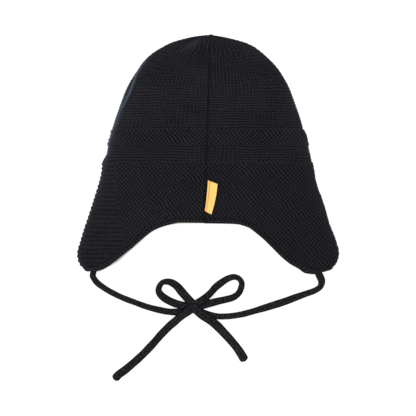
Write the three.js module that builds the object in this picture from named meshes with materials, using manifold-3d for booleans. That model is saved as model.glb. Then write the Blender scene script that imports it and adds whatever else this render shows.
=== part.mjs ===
// A lined, knitted baby hat with two ear flaps, lying on its front with its back up, as it is put down.
// Its tie cords leave the tips of the flaps and are tied in a bow below it. Millimetres, +Z up.
// +Y points to the crown tip and +X to the right as seen from above. The origin is the middle of the
// hat's own footprint, without the cords, on the surface that it lies on.
import * as THREE from "three";
import Module from "manifold-3d";
import { mergeVertices } from "three/addons/utils/BufferGeometryUtils.js";

// Driving dimensions
const HAT_LENGTH = 214; // crown tip to flap tip
const CROWN_Y = HAT_LENGTH / 2;
const KNIT_WALL = 2.5;
const LINING_WALL = 0.9;
const GAP = 0.3; // clearance between pieces that touch
const LINING_GAP = 0.4; // between the knitting and the lining
const CORD_DIAMETER = 5;

// The outline seen from above and the outer heights, by the distance down from the crown tip.
// halfWidth is to the side folds; top, shoulder and under are the heights at the middle of the back,
// at the top of the side fold and at the middle of the front; fold is how far the side fold's
// rounding reaches inwards.
const SECTIONS = [
  { down: 0, halfWidth: 0, top: 10, shoulder: 10, under: 10, fold: 4 },
  { down: 2.7, halfWidth: 19.3, top: 17.5, shoulder: 15, under: 4.6, fold: 8 },
  { down: 9.9, halfWidth: 39.2, top: 25, shoulder: 20, under: 0.9, fold: 14 },
  { down: 16, halfWidth: 49, top: 28.5, shoulder: 22.5, under: 0, fold: 18 },
  { down: 35, halfWidth: 65.9, top: 34, shoulder: 26, under: 0, fold: 22 },
  { down: 47, halfWidth: 72.8, top: 35.7, shoulder: 26.6, under: 0, fold: 23.1 },
  { down: 57, halfWidth: 76.7, top: 37, shoulder: 27, under: 0, fold: 24 },
  { down: 85, halfWidth: 86.2, top: 38, shoulder: 27, under: 0, fold: 24 },
  { down: 112, halfWidth: 92.7, top: 36.5, shoulder: 25.5, under: 0, fold: 22 },
  { down: 143, halfWidth: 100.4, top: 33, shoulder: 22, under: 0, fold: 18 },
  { down: 170, halfWidth: 109.4, top: 28.5, shoulder: 17.5, under: 0, fold: 13 },
  { down: 185, halfWidth: 114, top: 21.5, shoulder: 14.5, under: 0, fold: 10.5 },
  { down: 197, halfWidth: 117.5, top: 16.5, shoulder: 12.5, under: 0, fold: 9 },
  { down: HAT_LENGTH, halfWidth: 117.5, top: 12, shoulder: 10.5, under: 0, fold: 7 },
];
const FOLD_HEIGHT = 0.45; // where the widest point lies, as a share of the shoulder's height
const UNDER_FOLD = 0.7; // the fold's rounding below its widest point, as a share of the one above
const TIP_HEIGHT = 17; // the flap's rounded tip: its length along Y
const TIP_INSET = 16.5; // and how far it takes the fold inwards

// The open edge, by the share of the way round from the middle of the back (0) over the side fold
// (0.5) to the middle of the front (1). lip is how far the lining reaches past the knitted edge.
const OPEN_EDGE = [
  { around: 0, left: -61.9, right: -62.3, lip: -0.5 },
  { around: 0.1, left: -61.6, right: -62.7, lip: -0.5 },
  { around: 0.13, left: -63, right: -63.2, lip: -0.5 },
  { around: 0.15, left: -64.3, right: -64.4, lip: -0.5 },
  { around: 0.17, left: -65.8, right: -66.2, lip: -0.5 },
  { around: 0.2, left: -68.9, right: -71.6, lip: -0.5 },
  { around: 0.225, left: -73.5, right: -76.9, lip: -0.5 },
  { around: 0.25, left: -78.9, right: -83.5, lip: -0.5 },
  { around: 0.275, left: -85.1, right: -90.2, lip: -0.5 },
  { around: 0.3, left: -89.9, right: -95.1, lip: -0.5 },
  { around: 0.325, left: -94.4, right: -98.9, lip: -0.5 },
  { around: 0.35, left: -98.3, right: -101.5, lip: -0.5 },
  { around: 0.375, left: -101.3, right: -104.4, lip: -0.5 },
  { around: 0.4, left: -103.5, right: -106.2, lip: -0.5 },
  { around: 0.45, left: -105.8, right: -107, lip: -0.2 },
  { around: 0.5, left: -106.3, right: -107, lip: 0 },
  { around: 0.55, left: -105.4, right: -106.3, lip: 0 },
  { around: 0.6, left: -101.6, right: -103.8, lip: 0.4 },
  { around: 0.65, left: -96.7, right: -99.6, lip: 0.6 },
  { around: 0.7, left: -87.5, right: -92, lip: 0.6 },
  { around: 0.725, left: -81.8, right: -87, lip: 0.6 },
  { around: 0.75, left: -75.4, right: -81, lip: 0.6 },
  { around: 0.775, left: -70.2, right: -75.3, lip: 0.6 },
  { around: 0.8, left: -66.6, right: -70, lip: 0.6 },
  { around: 0.84, left: -63.4, right: -64, lip: 0.6 },
  { around: 0.9, left: -61.8, right: -62, lip: 0.5 },
  { around: 1, left: -61.7, right: -61.7, lip: 0.5 },
];

// Thicker garter-stitch knitting stands proud of the plain knitting
const GARTER_RELIEF = 0.8;
const GARTER_STEP = 1; // length over which the thickness changes
const UPPER_BAND = { from: 21.9, to: 7.2 };
const BRIM_START = -7.5;
const PRESSED = { from: 0.5, to: 0.56 }; // share of the way round where it starts to be pressed flat

// The back seam is a groove that leans a little, from one side of the middle to the other
const SEAM = { atCrown: 2.7, atHem: -3.2, halfWidth: 1.8, depth: 1.1 };
const HEM_Y = -62;

// The mesh of both cloth layers
const COLUMNS = 20; // on each side
const FOLD_CROWDING = 0.6; // columns crowd together at the side folds
const CROWN_ROWS = [0.8, 2.7, 6, 10.5, 16, 24, 35, 48, 62, 75]; // distances down
const BRIM_ROWS = 8;
const BRIM_CROWDING = 1.6; // rows crowd together at the open edge

// The label is sewn into the seam by its left edge
const LABEL = {
  seamSide: [[-0.3, -23.3], [-1.2, -37], [-2.9, -50.8]],
  freeSide: [[8, -26.3], [6.4, -40], [3.2, -53.8]],
  thickness: 1,
  lift: 1.2, // of its free side
};

// Centre lines of the cords, from the hat to the knot and from the knot to the ends, as points
// [x, y, z, width]. The knitted cord lies flatter where it is slack and wide.
const TIE_LEFT = [
  [-103.6, -107.4, 4.8, 5.2], [-104, -109.8, 4, 5.2], [-102.7, -112.6, 3.1, 5],
  [-100.2, -115.9, 2.7, 5], [-95.9, -119.3, 2.6, 5], [-90.2, -123, 2.6, 5],
  [-82.9, -126.9, 2.6, 4.9], [-75.6, -130.2, 2.6, 4.8], [-66.6, -133.6, 2.6, 5],
  [-55.9, -137.5, 2.6, 5], [-45.1, -140.4, 2.6, 5.4], [-35.4, -142.2, 2.6, 5.6],
  [-26.8, -142.5, 2.6, 6], [-21.5, -142, 2.6, 6.4], [-16.3, -140.8, 2.8, 6.4],
];
const TIE_RIGHT = [
  [99.7, -107.4, 4.8, 6.4], [101.1, -110.5, 3.9, 6.4], [102.6, -114.4, 3, 6],
  [101.5, -119.4, 2.6, 5], [96.7, -123, 2.6, 5.1], [89.3, -125.7, 2.6, 5.2],
  [80.3, -128.9, 2.6, 5.8], [69.6, -132.9, 2.6, 6.5], [56.9, -137, 2.6, 6.3],
  [43.3, -141.1, 2.6, 5.4], [31.7, -144.3, 2.6, 5.2], [19.8, -146.2, 2.6, 5],
  [9.9, -146.5, 2.6, 5.2], [2.9, -145.6, 2.6, 5.8], [-3.2, -143.7, 2.6, 6],
  [-9.2, -140.9, 2.8, 6],
];
const LOOP_LEFT = [
  [-14.3, -134.4, 7.8, 7.2], [-17.7, -130.9, 7, 7.3], [-23.8, -124.1, 4.6, 7.3],
  [-27.9, -119.3, 3.2, 6.7], [-32.2, -116.3, 2.7, 6.4], [-36.2, -115.1, 2.6, 5.4],
  [-40.9, -115.7, 2.6, 4.4], [-43.9, -119.4, 2.6, 4.9], [-44.5, -123.5, 2.6, 5.4],
  [-42.6, -127, 2.6, 6.1], [-38.2, -130.6, 2.7, 6.8], [-32.2, -133.7, 3.1, 6.8],
  [-26.9, -135.6, 4, 6.8], [-21.4, -136.8, 4.9, 6.8], [-16.5, -137.3, 5.2, 6.6],
];
const LOOP_RIGHT = [
  [-10.1, -134.4, 7.8, 6.4], [-6.9, -132.6, 7.7, 6.4], [-2.5, -129.6, 6.2, 6.2],
  [2.7, -124.8, 4.6, 6], [6.9, -120.1, 3.3, 6.2], [12.1, -116, 2.7, 6.1],
  [18, -112.3, 2.6, 5.4], [23.6, -110.8, 2.6, 4.9], [28.1, -112.4, 2.6, 4.6],
  [30.4, -115.9, 2.6, 4.9], [30, -120.2, 2.6, 5.2], [27.9, -125.1, 2.6, 5.1],
  [23.2, -129, 2.6, 5.6], [16.4, -131.1, 2.7, 5.9], [9.5, -132.6, 3.1, 6.3],
  [2.5, -134.4, 3.8, 6.4], [-3.5, -136.1, 4.4, 6.4], [-8.5, -137.3, 4.7, 6.4],
];
const TAIL_LEFT = [
  [-13.5, -139, 8, 6.8], [-17.8, -141.8, 8.1, 6.8], [-21.5, -144.2, 7.6, 6.8],
  [-25.6, -147.2, 6, 6.8], [-29.6, -150.8, 4.2, 6.8], [-33.8, -154.3, 3, 6.8],
  [-41.8, -162.2, 2.6, 6.7], [-49.9, -171.4, 2.6, 6.7], [-58.5, -180.4, 2.6, 6.6],
  [-66.4, -187.7, 2.6, 6.8], [-75.5, -195.3, 2.6, 6.9], [-80.6, -199, 2.6, 7.1],
  [-83.1, -202, 2.6, 7.1],
];
const TAIL_RIGHT = [
  [-12.3, -139, 8.2, 7.2], [-8.7, -142.2, 8.3, 7.4], [-4.9, -145.2, 7.8, 7.6],
  [0.5, -148.6, 6.2, 7.8], [5, -152.1, 4.4, 7.8], [9.1, -155.7, 3.1, 7.8],
  [12.5, -159.3, 2.6, 7.6], [19.3, -166.6, 2.6, 7.2], [25.5, -174, 2.6, 7.3],
  [30.4, -181.2, 2.6, 7.5], [32.4, -184.8, 2.6, 7.5],
];
const CORD_SIDES = 8;
const CORD_FLATTENING = 0.4; // how far its thickness gives way to its width
const CORD_STEP = 2 * CORD_DIAMETER; // on the straighter stretches
const LOOP_STEP = CORD_DIAMETER; // round the bow's loops

// The knot as a turned shape about its own long axis: a wrap between two lumps
const KNOT_CENTRE = [-12.7, -137.9, 5.75];
const KNOT_PROFILE = [
  { along: -6.9, radius: 0 }, { along: -6.2, radius: 3.2 }, { along: -4, radius: 4.7 },
  { along: -2.7, radius: 4.4 }, { along: -1.7, radius: 5.4 }, { along: 0, radius: 5.7 },
  { along: 1.7, radius: 5.4 }, { along: 2.7, radius: 4.4 }, { along: 4, radius: 4.7 },
  { along: 6.2, radius: 3.2 }, { along: 6.9, radius: 0 },
];
const KNOT_SIDES = 12;

// A smooth curve through a table's rows that never overshoots them (monotone cubic)
function monotoneCurve(xs, ys) {
  const steps = xs.slice(1).map((x, i) => x - xs[i]);
  const slopes = steps.map((step, i) => (ys[i + 1] - ys[i]) / step);
  const tangents = xs.map((_, i) => {
    if (i === 0) return slopes[0];
    if (i === xs.length - 1) return slopes[i - 1];
    if (slopes[i - 1] * slopes[i] <= 0) return 0;
    const before = 2 * steps[i] + steps[i - 1];
    const after = steps[i] + 2 * steps[i - 1];
    return (before + after) / (before / slopes[i - 1] + after / slopes[i]);
  });
  return (x) => {
    let i = 0;
    while (i < steps.length - 1 && x > xs[i + 1]) i++;
    const t = (x - xs[i]) / steps[i];
    const rise = t * t * (3 - 2 * t);
    return (
      ys[i] * (1 - rise) + ys[i + 1] * rise +
      steps[i] * t * (1 - t) * (tangents[i] * (1 - t) - tangents[i + 1] * t)
    );
  };
}

function tableCurve(rows, key, column) {
  return monotoneCurve(rows.map(key), rows.map((row) => row[column]));
}

const clamp01 = (t) => Math.max(0, Math.min(1, t));
const smoothStep = (t) => clamp01(t) ** 2 * (3 - 2 * clamp01(t));
const quarterRound = (t) => Math.sqrt(1 - (1 - clamp01(t)) ** 2);

// The square root of the distance down makes the crown round where the table starts
const depthKey = (down) => Math.sqrt(Math.max(0, down));
const sectionCurve = {};
for (const column of ["halfWidth", "top", "shoulder", "under", "fold"])
  sectionCurve[column] = tableCurve(SECTIONS, (row) => depthKey(row.down), column);

const edgeCurve = {};
for (const column of ["left", "right", "lip"])
  edgeCurve[column] = tableCurve(OPEN_EDGE, (row) => row.around, column);

// One side of the closed section at a height y, from the middle of the back to the middle of the
// front, as points [x, z] with the length of the way to each
function halfSection(y) {
  const key = depthKey(CROWN_Y - y);
  const tip = clamp01((TIP_HEIGHT - CROWN_Y - y) / TIP_HEIGHT);
  const width = sectionCurve.halfWidth(key) - TIP_INSET * (1 - Math.sqrt(1 - tip * tip));
  const top = sectionCurve.top(key);
  const shoulder = sectionCurve.shoulder(key);
  const under = sectionCurve.under(key);
  const fold = Math.min(sectionCurve.fold(key), width) || 1;
  const widest = under + FOLD_HEIGHT * (shoulder - under);
  const points = [];
  const SPANS = 60;
  for (let i = 0; i <= 2 * SPANS; i++) {
    const turn = (i / SPANS) * (Math.PI / 2);
    const x = width * Math.sin(turn);
    const inwards = width - x;
    const crowned = (top - shoulder) * (1 - Math.sin(turn) ** 2);
    points.push(
      i <= SPANS
        ? [x, widest + (shoulder - widest) * quarterRound(inwards / fold) + crowned]
        : [x, widest - (widest - under) * quarterRound(inwards / (UNDER_FOLD * fold))],
    );
  }
  const lengths = [0];
  for (let i = 1; i < points.length; i++)
    lengths.push(
      lengths[i - 1] +
        Math.hypot(points[i][0] - points[i - 1][0], points[i][1] - points[i - 1][1]),
    );
  return { points, lengths };
}

const seamX = (y) =>
  SEAM.atHem + ((SEAM.atCrown - SEAM.atHem) * (y - HEM_Y)) / (CROWN_Y - HEM_Y);

// A point of the smooth outer surface. around runs from -1 to 1, with 0 at the seam, 0.5 at the right
// fold, -0.5 at the left fold and both ends at the middle of the front.
function surfacePoint(around, y) {
  const { points, lengths } = halfSection(y);
  const total = lengths[lengths.length - 1];
  const lean = Math.sign(total) * Math.min(1, total / 40) * seamX(y) * (1 - Math.abs(around));
  let along = around * total + lean;
  const side = along < 0 ? -1 : 1;
  along = Math.min(Math.abs(along), total);
  let i = 1;
  while (i < lengths.length - 1 && lengths[i] < along) i++;
  const span = lengths[i] - lengths[i - 1];
  const t = span > 0 ? (along - lengths[i - 1]) / span : 0;
  const [xa, za] = points[i - 1];
  const [xb, zb] = points[i];
  return new THREE.Vector3(side * (xa + t * (xb - xa)), y, za + t * (zb - za));
}

// The outward direction there, from small steps round the section and up it
function outwardAt(around, y) {
  const ROUND_STEP = 0.01;
  const UP_STEP = 0.4;
  const low = Math.max(y - UP_STEP, -CROWN_Y);
  const high = Math.min(y + UP_STEP, CROWN_Y - 0.01);
  const round = surfacePoint(Math.min(1, around + ROUND_STEP), y).sub(
    surfacePoint(Math.max(-1, around - ROUND_STEP), y),
  );
  const up = surfacePoint(around, high).sub(surfacePoint(around, low));
  return round.cross(up).normalize();
}

// How far the knitting stands proud at a place: garter stitch up, the seam's groove down
function relief(around, y) {
  const stepAt = (edge) => smoothStep((edge - y) / GARTER_STEP + 0.5);
  const garter =
    stepAt(UPPER_BAND.from) - stepAt(UPPER_BAND.to) + stepAt(BRIM_START);
  const free = 1 - smoothStep((Math.abs(around) - PRESSED.from) / (PRESSED.to - PRESSED.from));
  const groove = around === 0 ? SEAM.depth : 0;
  return GARTER_RELIEF * garter * free - groove;
}

// Columns round the hat, with two close to the seam for its groove
function columnPlaces() {
  const half = [0];
  for (let i = 1; i <= COLUMNS; i++) {
    const t = i / COLUMNS;
    half.push(t - (FOLD_CROWDING * Math.sin(2 * Math.PI * (t - 0.5))) / (2 * Math.PI));
  }
  const seamEdge = SEAM.halfWidth / 200;
  const right = [0, seamEdge, ...half.slice(1)];
  return [...right.slice(1, -1).map((a) => -a).reverse(), ...right];
}

// Heights of one column's points, from below the crown tip to the open edge
function rowHeights(around, reach) {
  const side = around < 0 ? "left" : "right";
  const edge = edgeCurve[side](Math.abs(around)) - reach(Math.abs(around));
  const half = GARTER_STEP / 2;
  const steps = [UPPER_BAND.from, UPPER_BAND.to, BRIM_START].flatMap((y) => [y + half, y - half]);
  const start = BRIM_START - half;
  const heights = [...CROWN_ROWS.map((down) => CROWN_Y - down), ...steps];
  for (let i = 1; i <= BRIM_ROWS; i++) {
    const t = 1 - (1 - i / BRIM_ROWS) ** BRIM_CROWDING;
    heights.push(start + (edge - start) * t);
  }
  return heights;
}

// A closed wall of cloth between two distances below the smooth surface. reach is how far it goes
// past the knitted edge.
function clothWall({ outer, inner, withRelief, reach }) {
  const columns = columnPlaces();
  const positions = [];
  const faces = [];
  const layer = (depth, shaped) => {
    const first = positions.length / 3;
    const crownHeight = SECTIONS[0].top;
    positions.push(0, CROWN_Y - depth, crownHeight);
    for (const around of columns)
      for (const y of rowHeights(around, reach)) {
        const out = (shaped ? relief(around, y) : 0) - depth;
        const point = surfacePoint(around, y).addScaledVector(outwardAt(around, y), out);
        positions.push(point.x, point.y, Math.max(0, point.z)); // the floor presses it flat
      }
    return first;
  };
  const outerFirst = layer(outer, withRelief);
  const innerFirst = layer(inner, false);
  const rows = rowHeights(0, reach).length;
  const at = (first, column, row) => first + 1 + (column % columns.length) * rows + row;
  for (let c = 0; c < columns.length; c++) {
    faces.push(outerFirst, at(outerFirst, c, 0), at(outerFirst, c + 1, 0));
    faces.push(innerFirst, at(innerFirst, c + 1, 0), at(innerFirst, c, 0));
    for (let r = 0; r < rows - 1; r++) {
      const [a, b] = [at(outerFirst, c, r), at(outerFirst, c + 1, r)];
      faces.push(a, a + 1, b, b, a + 1, b + 1);
      const [d, e] = [at(innerFirst, c, r), at(innerFirst, c + 1, r)];
      faces.push(d, e, d + 1, e, e + 1, d + 1);
    }
    const [a, b] = [at(outerFirst, c, rows - 1), at(outerFirst, c + 1, rows - 1)];
    const [d, e] = [at(innerFirst, c, rows - 1), at(innerFirst, c + 1, rows - 1)];
    faces.push(a, d, b, b, d, e);
  }
  return closedGeometry(positions, faces);
}

function closedGeometry(positions, faces) {
  const geometry = new THREE.BufferGeometry();
  geometry.setAttribute("position", new THREE.Float32BufferAttribute(positions, 3));
  geometry.setIndex(faces);
  geometry.computeVertexNormals();
  return geometry;
}

// The label: a folded ribbon's outer shape, lying on the back beside the seam
function labelGeometry() {
  const seamSide = new THREE.SplineCurve(LABEL.seamSide.map((p) => new THREE.Vector2(...p)));
  const freeSide = new THREE.SplineCurve(LABEL.freeSide.map((p) => new THREE.Vector2(...p)));
  const LENGTHWAYS = 6;
  const ACROSS = 3;
  const positions = [];
  const faces = [];
  for (const layer of [0, LABEL.thickness])
    for (let i = 0; i <= LENGTHWAYS; i++)
      for (let j = 0; j <= ACROSS; j++) {
        const share = j / ACROSS;
        const place = seamSide.getPoint(i / LENGTHWAYS).lerp(freeSide.getPoint(i / LENGTHWAYS), share);
        const { lengths } = halfSection(place.y);
        const around = (place.x - seamX(place.y)) / lengths[lengths.length - 1];
        const height = 1.1 * (GARTER_RELIEF + GAP) + layer + LABEL.lift * share * share;
        const point = surfacePoint(around, place.y);
        positions.push(point.x, point.y, point.z + height);
      }
  const across = ACROSS + 1;
  const perLayer = across * (LENGTHWAYS + 1);
  const quad = (a, b, c, d) => faces.push(a, b, c, a, c, d);
  for (let i = 0; i < LENGTHWAYS; i++)
    for (let j = 0; j < ACROSS; j++) {
      const a = i * across + j;
      quad(a, a + 1, a + across + 1, a + across);
      quad(...[a, a + across, a + across + 1, a + 1].map((k) => k + perLayer));
    }
  const rim = [];
  for (let j = 0; j < ACROSS; j++) rim.push(j);
  for (let i = 0; i < LENGTHWAYS; i++) rim.push(i * across + ACROSS);
  for (let j = ACROSS; j > 0; j--) rim.push(LENGTHWAYS * across + j);
  for (let i = LENGTHWAYS; i > 0; i--) rim.push(i * across);
  rim.forEach((a, k) => {
    const b = rim[(k + 1) % rim.length];
    quad(b, a, a + perLayer, b + perLayer);
  });
  return closedGeometry(positions, faces);
}

// A cord keeps its place on the surface as its section changes between round and flat
function cordGeometry(route, step, growth) {
  const path = new THREE.CatmullRomCurve3(
    route.map(([x, y, z]) => new THREE.Vector3(x, y, z)), false, "centripetal",
  );
  const rings = Math.round(path.getLength() / step) + 1;
  const positions = [];
  const faces = [];
  for (let i = 0; i < rings; i++) {
    const t = path.getUtoTmapping(i / (rings - 1));
    const before = Math.min(Math.floor(t * (route.length - 1)), route.length - 2);
    const share = t * (route.length - 1) - before;
    const width = route[before][3] * (1 - share) + route[before + 1][3] * share;
    const thickness = CORD_DIAMETER * (CORD_DIAMETER / width) ** CORD_FLATTENING;
    const centre = path.getPoint(t);
    centre.z += (thickness - CORD_DIAMETER) / 2;
    const tangent = path.getTangent(t);
    const sideways = new THREE.Vector3(0, 0, 1).cross(tangent).normalize();
    const upwards = tangent.clone().cross(sideways);
    for (let k = 0; k < CORD_SIDES; k++) {
      const turn = ((k + 0.5) / CORD_SIDES) * 2 * Math.PI;
      const place = centre.clone();
      place.addScaledVector(sideways, Math.cos(turn) * (width / 2 + growth));
      place.addScaledVector(upwards, Math.sin(turn) * (thickness / 2 + growth));
      positions.push(place.x, place.y, place.z);
    }
  }
  const last = (rings - 1) * CORD_SIDES;
  for (let k = 0; k < CORD_SIDES; k++) {
    const next = (k + 1) % CORD_SIDES;
    for (let i = 0; i < last; i += CORD_SIDES)
      faces.push(i + k, i + next, i + CORD_SIDES + k, i + next, i + CORD_SIDES + next, i + CORD_SIDES + k);
    if (k > 0 && k < CORD_SIDES - 1) faces.push(0, k + 1, k, last, last + k, last + k + 1);
  }
  return closedGeometry(positions, faces);
}

function knotGeometry(growth) {
  const profile = KNOT_PROFILE.map(({ along, radius }) => {
    const length = Math.hypot(along, radius);
    const scale = 1 + growth / length;
    return new THREE.Vector2(radius * scale, along * scale);
  });
  const geometry = new THREE.LatheGeometry(profile, KNOT_SIDES);
  geometry.rotateZ(-Math.PI / 2);
  geometry.translate(...KNOT_CENTRE);
  return geometry;
}

// Closed meshes as solids, to cut the cords back from the knot
const wasm = await Module();
wasm.setup();

function solidFrom(geometry) {
  const bare = geometry.index ? geometry.toNonIndexed() : geometry.clone();
  bare.deleteAttribute("normal");
  bare.deleteAttribute("uv");
  const merged = mergeVertices(bare, 1e-3);
  return new wasm.Manifold(
    new wasm.Mesh({
      numProp: 3,
      vertProperties: merged.attributes.position.array,
      triVerts: new Uint32Array(merged.index.array),
    }),
  );
}

function geometryFrom(solid) {
  const { vertProperties, triVerts } = solid.getMesh();
  return closedGeometry([...vertProperties], [...triVerts]);
}

const knotRoom = solidFrom(knotGeometry(GAP));
const knittedRoom = solidFrom(
  clothWall({ outer: -1.5 * GAP, inner: KNIT_WALL + 1.5 * GAP, withRelief: true, reach: () => 1.2 * GAP }),
);
// Each cord is cut clear of the knot, of the hat and of the cords laid before it
const cordRooms = [knotRoom, knittedRoom];
function cutCord(route, step) {
  let cord = solidFrom(cordGeometry(route, step, 0));
  for (const room of cordRooms) cord = cord.subtract(room);
  const [largest] = cord.decompose().sort((a, b) => b.volume() - a.volume());
  cordRooms.push(solidFrom(cordGeometry(route, step, GAP)));
  return geometryFrom(largest);
}

const NAVY_KNIT = { color: 0x1c1c24, roughness: 0.95, metalness: 0 };
const CREAM_JERSEY = { color: 0xd9d2c4, roughness: 0.9, metalness: 0 };
const YELLOW_RIBBON = { color: 0xf3c95a, roughness: 0.6, metalness: 0 };

const hat = new THREE.Group();
function piece(name, geometry, finish) {
  const mesh = new THREE.Mesh(geometry, new THREE.MeshStandardMaterial(finish));
  mesh.name = name;
  hat.add(mesh);
}

piece(
  "knitted_body",
  clothWall({ outer: 0, inner: KNIT_WALL, withRelief: true, reach: () => 0 }),
  NAVY_KNIT,
);
piece(
  "lining",
  clothWall({
    outer: KNIT_WALL + LINING_GAP,
    inner: KNIT_WALL + LINING_GAP + LINING_WALL,
    withRelief: false,
    reach: edgeCurve.lip,
  }),
  CREAM_JERSEY,
);
piece("seam_label", labelGeometry(), YELLOW_RIBBON);
piece("tie_left", cutCord(TIE_LEFT, CORD_STEP), NAVY_KNIT);
piece("tie_right", cutCord(TIE_RIGHT, CORD_STEP), NAVY_KNIT);
piece("bow_loop_left", cutCord(LOOP_LEFT, LOOP_STEP), NAVY_KNIT);
piece("bow_loop_right", cutCord(LOOP_RIGHT, LOOP_STEP), NAVY_KNIT);
piece("tail_left", cutCord(TAIL_LEFT, CORD_STEP), NAVY_KNIT);
piece("tail_right", cutCord(TAIL_RIGHT, CORD_STEP), NAVY_KNIT);
piece("bow_knot", knotGeometry(0), NAVY_KNIT);

export default hat;
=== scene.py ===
import math

import bpy
import numpy as np
from mathutils import Matrix, Vector


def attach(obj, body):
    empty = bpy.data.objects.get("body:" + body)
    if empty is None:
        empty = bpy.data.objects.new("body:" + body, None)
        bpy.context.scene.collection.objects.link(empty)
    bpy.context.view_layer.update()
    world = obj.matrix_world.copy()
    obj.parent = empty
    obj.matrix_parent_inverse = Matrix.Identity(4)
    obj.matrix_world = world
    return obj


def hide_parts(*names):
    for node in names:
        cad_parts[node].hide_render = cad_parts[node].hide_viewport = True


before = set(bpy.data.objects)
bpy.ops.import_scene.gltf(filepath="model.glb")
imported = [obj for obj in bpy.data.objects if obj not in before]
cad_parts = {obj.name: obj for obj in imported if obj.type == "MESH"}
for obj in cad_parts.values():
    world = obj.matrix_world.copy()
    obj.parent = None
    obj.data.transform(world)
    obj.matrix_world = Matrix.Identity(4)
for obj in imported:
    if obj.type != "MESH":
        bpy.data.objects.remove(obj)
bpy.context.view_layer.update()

# Camera
# It looks straight down from far away through a long lens, so the hat keeps its true outline. The
# picture is 416 pixels wide, and each covers 0.9 mm of the hat.
PICTURE_WIDTH = 416 * 0.0009
LENS_MM = 300
SENSOR_MM = 36
PICTURE_CENTRE = (0, -0.0486)
HAT_MIDDLE_HEIGHT = 0.012

camera_height = HAT_MIDDLE_HEIGHT + PICTURE_WIDTH * LENS_MM / SENSOR_MM
bpy.ops.object.camera_add(location=(*PICTURE_CENTRE, camera_height), rotation=(0, 0, 0))
camera = bpy.context.object
camera.data.lens = LENS_MM
camera.data.sensor_width = SENSOR_MM
camera.data.clip_end = 20
bpy.context.scene.camera = camera


# Knitted body
# The outer hat, knitted of fine navy wool from the brim to the crown tip and sewn up at the middle
# of the back: plain knitting with garter stitch in the upper band, the brim and the flaps.
HAT_LENGTH = 214.0  # millimetres, like all sizes of the knitted body
CROWN_Y = HAT_LENGTH / 2
KNIT_WALL = 2.5
STITCH_WIDTH = 3.72
PLAIN_COURSE = 2.42  # height of one row of plain stitches
GARTER_COURSE = 1.96  # garter stitch draws its rows closer together
GARTER_RELIEF = 0.8  # how far garter stitch stands out past plain stitches
GARTER_STEP = 1.0  # height over which it rises to that
UPPER_BAND = (21.9, 7.2)  # Y of its upper and lower edge
BRIM_START = -7.5
SEAM_AT_CROWN = 2.7  # X of the seam's upper and lower end
SEAM_AT_HEM = -3.2
HEM_Y = -62.0
SEAM_DEPTH = 1.1
FOLD_HEIGHT = 0.45  # where the widest point lies, as a share of the shoulder's height
UNDER_FOLD = 0.7  # the fold's rounding below its widest point, as a share of the one above
TIP_HEIGHT = 17.0  # the flap's rounded tip: its length along Y
TIP_INSET = 16.5  # and how far it takes the fold inwards
# Down from the crown tip, half width, then heights at the middle of the back, at the top of the side
# fold and at the middle of the front, then how far the fold's rounding reaches inwards
SECTIONS = np.array([
    (0, 0, 10, 10, 10, 4), (2.7, 19.3, 17.5, 15, 4.6, 8), (9.9, 39.2, 25, 20, 0.9, 14),
    (16, 49, 28.5, 22.5, 0, 18), (35, 65.9, 34, 26, 0, 22), (47, 72.8, 35.7, 26.6, 0, 23.1),
    (57, 76.7, 37, 27, 0, 24), (85, 86.2, 38, 27, 0, 24), (112, 92.7, 36.5, 25.5, 0, 22),
    (143, 100.4, 33, 22, 0, 18), (170, 109.4, 28.5, 17.5, 0, 13), (185, 114, 21.5, 14.5, 0, 10.5),
    (197, 117.5, 16.5, 12.5, 0, 9), (HAT_LENGTH, 117.5, 12, 10.5, 0, 7),
])
# Share of the way round from the middle of the back to the middle of the front, then the open edge's
# Y on the left and on the right, then how far the lining reaches past it
OPEN_EDGE = np.array([
    (0, -61.9, -62.3, -0.5), (0.1, -61.6, -62.7, -0.5), (0.13, -63, -63.2, -0.5),
    (0.15, -64.3, -64.4, -0.5), (0.17, -65.8, -66.2, -0.5), (0.2, -68.9, -71.6, -0.5),
    (0.225, -73.5, -76.9, -0.5), (0.25, -78.9, -83.5, -0.5), (0.275, -85.1, -90.2, -0.5),
    (0.3, -89.9, -95.1, -0.5), (0.325, -94.4, -98.9, -0.5), (0.35, -98.3, -101.5, -0.5),
    (0.375, -101.3, -103.8, -0.5), (0.4, -103.5, -105.8, -0.5), (0.425, -104.8, -106.8, -0.4),
    (0.45, -105.8, -107, -0.2), (0.475, -106.2, -106.5, -0.1), (0.5, -106.3, -105.8, 0),
    (0.55, -105.4, -105, 0), (0.6, -101.6, -103.3, 0.4), (0.65, -96.7, -99.6, 0.6),
    (0.7, -87.5, -92, 0.6), (0.725, -81.8, -87, 0.6), (0.75, -75.4, -81, 0.6),
    (0.775, -70.2, -75.3, 0.6), (0.8, -66.6, -70, 0.6), (0.84, -63.4, -64, 0.6),
    (0.9, -61.8, -62, 0.5), (1, -61.7, -61.7, 0.5),
])


def smooth_step(t):
    """0 up to t = 0 and 1 from t = 1, with a smooth rise between."""
    t = np.clip(t, 0, 1)
    return t * t * (3 - 2 * t)


def peak(distance, reach):
    """1 at no distance, falling away smoothly on both sides to almost 0 at twice the reach."""
    return np.exp(-((distance / reach) ** 2))


def monotone_curve(xs, ys):
    """A smooth curve through a table's rows that never overshoots them (monotone cubic)."""
    steps = np.diff(xs)
    slopes = np.diff(ys) / steps
    before = 2 * steps[1:] + steps[:-1]
    after = steps[1:] + 2 * steps[:-1]
    same = slopes[:-1] * slopes[1:] > 0
    safe = [np.where(same, s, 1) for s in (slopes[:-1], slopes[1:])]
    inner = np.where(same, (before + after) / (before / safe[0] + after / safe[1]), 0)
    tangents = np.r_[slopes[0], inner, slopes[-1]]

    def curve(x):
        i = np.clip(np.searchsorted(xs, x, side="left") - 1, 0, len(steps) - 1)
        t = (x - xs[i]) / steps[i]
        rise = t * t * (3 - 2 * t)
        bend = tangents[i] * (1 - t) - tangents[i + 1] * t
        return ys[i] * (1 - rise) + ys[i + 1] * rise + steps[i] * t * (1 - t) * bend

    return curve


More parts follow.
